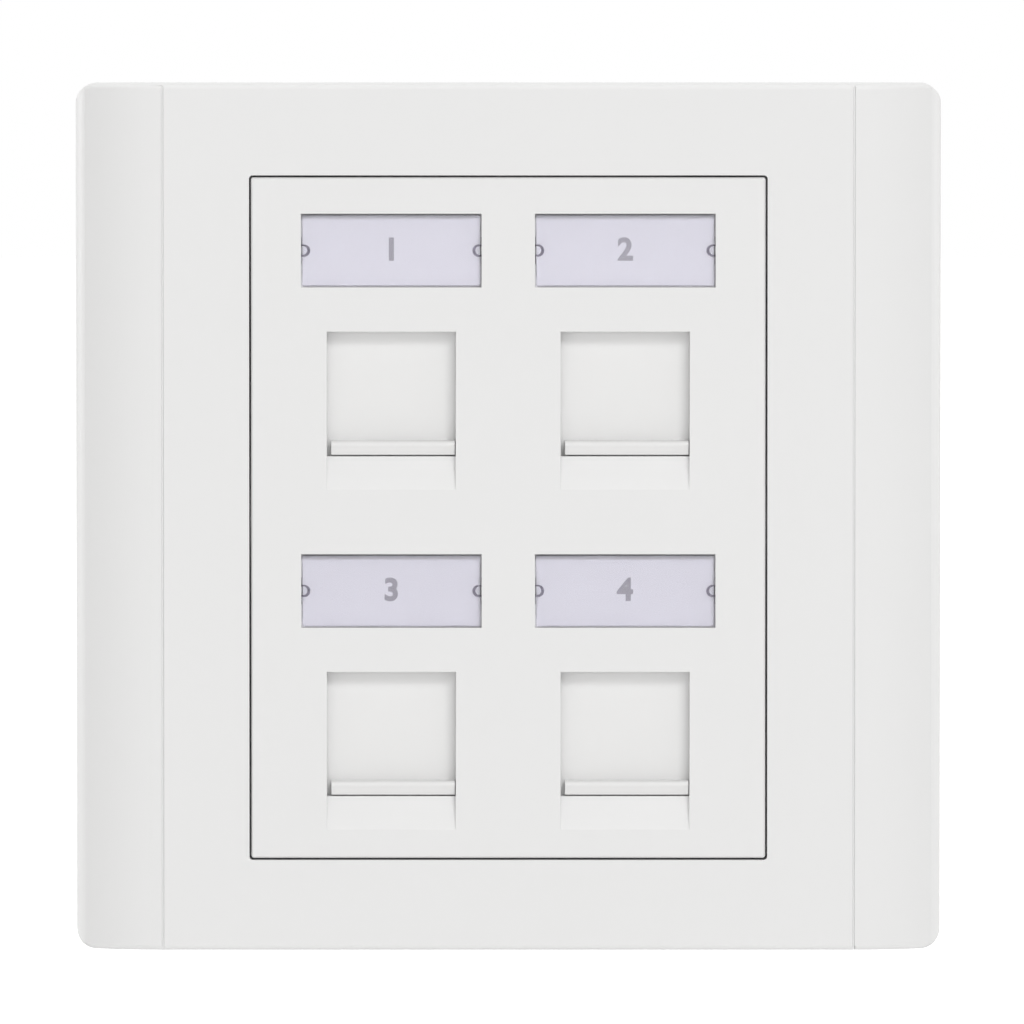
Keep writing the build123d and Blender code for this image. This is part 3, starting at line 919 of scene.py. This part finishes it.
@dataclass
class Door(Piece):
    """One sliding shutter and its spring.

    Each closed turn rises by so many wire radii. The share of its length that a lifted door would press the
    spring to is not used.
    """

    port: int
    door_round: float = 0.05 * MM
    wire_radius: float = 0.14 * MM
    wire_sides: int = 10
    turn_steps: int = 28
    open_turns: int = 7
    closed_turns: int = 1
    closed_rise_radii: float = 2.1
    pressed_share: float = 5.68 / 16.25

    def spring(self) -> bpy.types.Object:
        """Builds the round-wire spring, with a closed turn at each end.

        Returns:
            The spring, at its full length.
        """
        node = f"shutter_spring_{self.port}"
        low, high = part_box(node)
        axis = Vector(((low.x + high.x) / 2, (low.y + high.y) / 2, 0.0))
        radius = (high.x - low.x) / 2 - self.wire_radius
        bottom = low.z + self.wire_radius
        closed_rise = self.closed_rise_radii * self.wire_radius * self.closed_turns
        open_rise = high.z - low.z - 2 * self.wire_radius - 2 * closed_rise
        bm = bmesh.new()
        ring = bmesh.ops.create_circle(bm, segments=self.wire_sides, radius=self.wire_radius,
                                       cap_ends=True)
        stand = Matrix.Rotation(math.pi / 2, 4, "X")
        start = Matrix.Translation(axis + Vector((radius, 0.0, bottom))) @ stand
        bmesh.ops.transform(bm, matrix=start, verts=ring["verts"])
        front = list(bm.faces) + list(bm.edges) + list(bm.verts)
        closed = (self.closed_turns, closed_rise)
        for turns, rise in (closed, (self.open_turns, open_rise), closed):
            steps = turns * self.turn_steps
            spun = bmesh.ops.spin(bm, geom=front, cent=axis, axis=Side.UP.value,
                                  angle=math.tau * turns, dvec=Side.UP.value * rise / steps,
                                  steps=steps, use_duplicate=False)
            front = spun["geom_last"]
        bmesh.ops.remove_doubles(bm, verts=bm.verts, dist=MERGE_DISTANCE)
        bmesh.ops.recalc_face_normals(bm, faces=bm.faces)
        for face in bm.faces:
            face.smooth = True
        made = stage_mesh(bm, f"door_spring_{self.port}")
        self.install(made, "spring_wire", OUTLET, node)
        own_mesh(made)
        return made

    def build(self) -> None:
        """Rounds the door and builds its spring."""
        self.soften(f"shutter_{self.port}", f"door_{self.port}", self.door_round)
        self.spring()


@dataclass
class Carrier(Piece):
    """The plate behind the doors, and its four pan-head screws."""

    plate_round: float = 0.08 * MM
    head_radius: float = 1.7 * MM
    head_height: float = 1.1 * MM
    head_round: float = 0.5 * MM
    core_radius: float = 0.62 * MM
    point_length: float = 0.8 * MM
    recess_length: float = 1.9 * MM
    recess_width: float = 0.45 * MM
    recess_depth: float = 0.6 * MM
    recess_taper: float = 0.72
    thread_size: float = 0.2 * MM
    thread_pitch: float = 0.6 * MM
    thread_turns: int = 5
    thread_sides: int = 3
    thread_steps: int = 20
    head_steps: int = 40
    rim_steps: int = 6

    def screw(self, x: float, z: float, back: float, tip: float) -> bmesh.types.BMesh:
        """Turns one screw, and presses the cross into its head.

        Args:
            x: Its place across.
            z: Its height.
            back: Where its head ends.
            tip: Where its point ends.

        Returns:
            The screw's mesh.
        """
        seat = back - self.head_height
        outline = ((0.0, back), (self.head_radius, back), (self.head_radius, seat),
                   (self.core_radius, seat), (self.core_radius, tip + self.point_length), (0.0, tip))
        bm = bmesh.new()
        verts = [bm.verts.new((x + radius, y, z)) for radius, y in outline]
        edges = [bm.edges.new(pair) for pair in zip(verts, verts[1:])]
        bmesh.ops.spin(bm, geom=verts + edges, cent=(x, 0.0, z), axis=Side.BACK.value,
                       angle=math.tau, steps=self.head_steps, use_merge=True, use_duplicate=False)
        bmesh.ops.remove_doubles(bm, verts=bm.verts, dist=MERGE_DISTANCE)
        outer = {vert for vert in bm.verts if abs(vert.co.y - back) < MERGE_DISTANCE
                 and math.hypot(vert.co.x - x, vert.co.z - z) > self.core_radius}
        rim = [edge for edge in bm.edges if edge.is_manifold and outer.issuperset(edge.verts)]
        bmesh.ops.bevel(bm, geom=rim, offset=self.head_round, segments=self.rim_steps, profile=0.5,
                        affect="EDGES", material=-1)
        flat = [face for face in bm.faces if abs(face.calc_center_median().y - back) < MERGE_DISTANCE]
        bmesh.ops.dissolve_faces(bm, faces=flat)
        self.press_cross(bm, x, z, back)
        return bm

    def press_cross(self, bm: bmesh.types.BMesh, x: float, z: float, back: float) -> None:
        """Presses the tapered cross into a screw's head.

        Args:
            bm: The screw's mesh.
            x: Its place across.
            z: Its height.
            back: Where its head ends.
        """
        half, arm = self.recess_width / 2, self.recess_length / 2
        for way, at in ((Side.RIGHT.value, x), (Side.UP.value, z)):
            for offset in (-arm, -half, half, arm):
                top = [face for face in bm.faces if abs(face.calc_center_median().y - back) < MERGE_DISTANCE]
                geom = top + list({edge for face in top for edge in face.edges})
                geom += list({vert for face in top for vert in face.verts})
                bmesh.ops.bisect_plane(bm, geom=geom, dist=MERGE_DISTANCE / 10, plane_co=way * (at + offset),
                                       plane_no=way)
        cross = []
        for face in bm.faces:
            middle = face.calc_center_median()
            across, up = abs(middle.x - x), abs(middle.z - z)
            if abs(middle.y - back) < MERGE_DISTANCE and min(across, up) < half and max(across, up) < arm:
                cross.append(face)
        pressed = drawn_out(bm, cross, Vector((0.0, -self.recess_depth, 0.0)))
        bmesh.ops.delete(bm, geom=cross, context="FACES")
        moved = [item for item in pressed if isinstance(item, bmesh.types.BMVert)]
        centred = Matrix.Translation((-x, 0.0, -z))
        bmesh.ops.scale(bm, vec=(self.recess_taper, 1.0, self.recess_taper), space=centred, verts=moved)

    def thread(self, x: float, z: float, tip: float) -> bmesh.types.BMesh:
        """Winds one screw's thread.

        Args:
            x: The screw's place across.
            z: Its height.
            tip: Where its point ends.

        Returns:
            The thread's mesh.
        """
        bm = bmesh.new()
        ring = bmesh.ops.create_circle(bm, segments=self.thread_sides, radius=self.thread_size,
                                       cap_ends=True)
        start = Matrix.Translation((x + self.core_radius, tip + self.point_length, z)) @ Matrix.Rotation(
            -math.pi / 2, 4, "Z")
        bmesh.ops.transform(bm, matrix=start, verts=ring["verts"])
        steps = self.thread_turns * self.thread_steps
        bmesh.ops.spin(bm, geom=list(bm.faces) + list(bm.edges) + list(bm.verts), cent=(x, 0.0, z),
                       axis=Side.BACK.value, angle=math.tau * self.thread_turns,
                       dvec=Side.BACK.value * self.thread_pitch / self.thread_steps, steps=steps,
                       use_duplicate=False)
        return bm

    def screws(self) -> bpy.types.Object:
        """Builds the four screws.

        Returns:
            The screws, as one piece.
        """
        low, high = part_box("carrier_screws")
        places = [(x, z) for x in (low.x + self.head_radius, high.x - self.head_radius)
                  for z in (low.z + self.head_radius, high.z - self.head_radius)]
        turned = [self.screw(x, z, high.y, low.y) for x, z in places]
        wound = [self.thread(x, z, low.y) for x, z in places]
        whole = gathered(turned + wound)
        for face in whole.faces:
            face.smooth = True
        made = stage_mesh(whole, "carrier_pan_screws")
        made.data.set_sharp_from_angle(angle=SHARP_TURN)
        return self.install(made, "screw_steel", OUTLET, "carrier_screws")

    def build(self) -> None:
        """Rounds the plate and builds the screws."""
        self.soften("jack_carrier", OUTLET, self.plate_round)
        self.screws()


@dataclass
class Jack(Piece):
    """One data jack: housing, contact wires in their comb, board, terminals and cap."""

    port: int
    edge_round: float = 0.08 * MM
    wire_count: int = 8
    wire_pitch: float = 1.02 * MM
    wire_radius: float = 0.17 * MM
    wire_sides: int = 10
    bend_radius: float = 0.65 * MM
    bend_steps: int = 10
    slope: float = 20.0
    spring_length: float = 4.2 * MM

    def contact(self, x: float, level: float, front: float, back: float) -> bmesh.types.BMesh:
        """Bends one contact wire: forward under the comb, round and back down into the cavity.

        Args:
            x: The wire's place across the jack.
            level: The height of its straight run.
            front: How far forward its bend reaches.
            back: Where it meets the board.

        Returns:
            The wire's mesh.
        """
        bm = bmesh.new()
        ring = bmesh.ops.create_circle(bm, segments=self.wire_sides, radius=self.wire_radius,
                                       cap_ends=True)
        start = Matrix.Translation((x, back, level)) @ Matrix.Rotation(math.pi / 2, 4, "X")
        bmesh.ops.transform(bm, matrix=start, verts=ring["verts"])
        bend_y = front + self.wire_radius + self.bend_radius
        run = drawn_out(bm, list(bm.faces), Vector((0.0, bend_y - back, 0.0)))
        slope = math.radians(self.slope)
        centre = Vector((x, bend_y, level - self.bend_radius))
        spun = bmesh.ops.spin(bm, geom=run, cent=centre, axis=Side.RIGHT.value, angle=math.pi - slope,
                              steps=self.bend_steps, use_duplicate=False)
        tip = [item for item in spun["geom_last"] if isinstance(item, bmesh.types.BMFace)]
        drawn_out(bm, tip, Vector((0.0, math.cos(slope), -math.sin(slope))) * self.spring_length)
        return bm

    def contacts(self) -> bpy.types.Object:
        """Builds the eight contact wires.

        Returns:
            The wires, as one piece.
        """
        node = f"jack_contacts_{self.port}"
        low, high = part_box(node)
        middle = (low.x + high.x) / 2
        offsets = [(index - (self.wire_count - 1) / 2) * self.wire_pitch for index in range(self.wire_count)]
        level = high.z - self.wire_radius
        whole = gathered(self.contact(middle + offset, level, low.y, high.y) for offset in offsets)
        for face in whole.faces:
            face.smooth = len(face.verts) == 4
        made = stage_mesh(whole, f"contact_wires_{self.port}")
        return self.install(made, "contact_gold", OUTLET, node)

    def build(self) -> None:
        """Builds the wires, rounds the mouldings and dresses the rest."""
        self.contacts()
        for node in ("jack_housing", "terminal_block", "wire_cap"):
            self.soften(f"{node}_{self.port}", OUTLET, self.edge_round)
        for node in ("contact_comb", "jack_board", "terminal_blades"):
            self.wardrobe.dress(f"{node}_{self.port}")


# Studio
def hang(name: str, data: bpy.types.ID, place: Vector, target: Vector) -> bpy.types.Object:
    """Puts a camera or a lamp in the scene, facing a point.

    Args:
        name: The object's name.
        data: The camera or lamp.
        place: Where it hangs.
        target: The point that it faces.

    Returns:
        The object.
    """
    holder = bpy.data.objects.new(name, data)
    holder.location = place
    holder.rotation_mode = "QUATERNION"
    holder.rotation_quaternion = (target - place).to_track_quat("-Z", "Y")
    bpy.context.scene.collection.objects.link(holder)
    return holder


@dataclass(frozen=True)
class SoftBox:
    """A rectangular soft light, aimed at the outlet."""

    name: str
    place: Triple
    width: float
    height: float
    power: float

    def build(self) -> None:
        """Makes the light."""
        lamp = bpy.data.lights.new(self.name, "AREA")
        lamp.shape = "RECTANGLE"
        lamp.size, lamp.size_y = self.width, self.height
        lamp.energy = self.power
        hang(self.name, lamp, Vector(self.place), Vector())


@dataclass
class Studio:
    """The camera, the white surroundings, the floor and the lights."""

    frame_pixels: int = 1024
    pixels_per_mm: float = 10.08
    middle_pixel: tuple[float, float] = (508.3, 518.1)
    camera_distance: float = 1.55
    camera_height: float = 3.0
    sensor_width: float = 36.0
    clip_range: tuple[float, float] = (0.05, 20.0)
    ambient: Color = (0.430, 0.425, 0.414)
    floor_drop: float = 40 * MM
    floor_size: float = 6.0
    floor_color: Color = (0.9, 0.9, 0.9)
    floor_lift: float = 0.68
    lights: tuple[SoftBox, ...] = (
        SoftBox("key", (0.56, -1.80, 1.12), 0.86, 0.50, 14.2),
        SoftBox("front_fill", (-0.20, -2.50, 0.0), 2.40, 2.40, 17.5),
        SoftBox("left_strip", (-1.60, 1.00, 0.0), 0.50, 1.60, 15.5),
        SoftBox("right_strip", (1.60, 1.00, 0.0), 0.50, 1.60, 8.0),
        SoftBox("top_strip", (0.0, 0.15, 1.60), 1.60, 0.50, 8.0),
    )

    def camera(self) -> None:
        """Sets the camera straight in front and a little above."""
        half = self.frame_pixels / 2
        scale = MM / self.pixels_per_mm
        across, down = self.middle_pixel
        aim = Vector(((half - across) * scale, CAD_BOX[0].y, (down - half) * scale))
        tilt = math.radians(self.camera_height)
        away = Vector((0.0, -math.cos(tilt), math.sin(tilt)))
        lens = bpy.data.cameras.new("camera")
        lens.sensor_width = self.sensor_width
        lens.lens = lens.sensor_width * self.camera_distance / (self.frame_pixels * scale)
        lens.clip_start, lens.clip_end = self.clip_range
        bpy.context.scene.camera = hang("camera", lens, aim + away * self.camera_distance, aim)

    def seen_plainly(self, tree: Tree) -> bpy.types.NodeSocket:
        """Adds a mask of the rays that should see a white background.

        Args:
            tree: The material's or world's tree.

        Returns:
            1 for camera, glossy and transmission rays that have met no matt surface, and 0 for the rest.
        """
        path = tree.node("ShaderNodeLightPath").outputs
        gloss = tree.maths("MAXIMUM", path["Is Glossy Ray"], path["Is Transmission Ray"])
        seen = tree.maths("MAXIMUM", path["Is Camera Ray"], gloss)
        return tree.maths("MULTIPLY", seen, tree.maths("LESS_THAN", path["Diffuse Depth"], 0.5))

    def world(self) -> None:
        """Makes even white surroundings that light the outlet softly."""
        world = bpy.data.worlds.new("surroundings")
        bpy.context.scene.world = world
        world.use_nodes = True
        world.node_tree.nodes.clear()
        tree = Tree(world.node_tree)
        glow, white = (tree.node("ShaderNodeBackground") for _ in range(2))
        glow.inputs["Color"].default_value = (*self.ambient, 1.0)
        white.inputs["Color"].default_value = (1.0, 1.0, 1.0, 1.0)
        mix = tree.node("ShaderNodeMixShader")
        tree.join(self.seen_plainly(tree), mix.inputs["Fac"])
        tree.join(glow.outputs[0], mix.inputs[1])
        tree.join(white.outputs[0], mix.inputs[2])
        tree.join(mix.outputs[0], tree.node("ShaderNodeOutputWorld").inputs["Surface"])

    def floor(self) -> None:
        """Lays a pale floor under the outlet, which keeps its shadow and is clear from below."""
        bm = bmesh.new()
        bmesh.ops.create_grid(bm, x_segments=1, y_segments=1, size=self.floor_size / 2)
        bmesh.ops.translate(bm, vec=(0.0, 0.0, CAD_BOX[0].z - self.floor_drop), verts=bm.verts)
        made = stage_mesh(bm, "floor")
        material = bpy.data.materials.new("pale_floor")
        material.use_nodes = True
        material.node_tree.nodes.clear()
        tree = Tree(material.node_tree)
        matt = tree.node("ShaderNodeBsdfDiffuse")
        matt.inputs["Color"].default_value = (*self.floor_color, 1.0)
        lift = tree.node("ShaderNodeEmission")
        lifted = tree.maths("MULTIPLY", self.seen_plainly(tree), self.floor_lift)
        tree.join(lifted, lift.inputs["Strength"])
        both = tree.node("ShaderNodeAddShader")
        tree.join(matt.outputs[0], both.inputs[0])
        tree.join(lift.outputs[0], both.inputs[1])
        sides = tree.node("ShaderNodeMixShader")
        tree.join(tree.node("ShaderNodeNewGeometry").outputs["Backfacing"], sides.inputs["Fac"])
        tree.join(both.outputs[0], sides.inputs[1])
        tree.join(tree.node("ShaderNodeBsdfTransparent").outputs[0], sides.inputs[2])
        tree.join(sides.outputs[0], tree.node("ShaderNodeOutputMaterial").inputs["Surface"])
        made.data.materials.append(material)

    def build(self) -> None:
        """Builds the studio."""
        self.camera()
        self.world()
        self.floor()
        for light in self.lights:
            light.build()
        bpy.context.scene.view_settings.view_transform = "Standard"


def main() -> None:
    """Builds the outlet's pieces and the studio."""
    logging.basicConfig(level=logging.INFO, format="%(name)s %(message)s")
    wardrobe = Wardrobe(FINISHES)
    Front(wardrobe).build()
    for port in PORTS:
        Label(wardrobe, port).build()
        Door(wardrobe, port).build()
        Jack(wardrobe, port).build()
    Carrier(wardrobe).build()
    Studio().build()


if __name__ == "__main__":
    main()
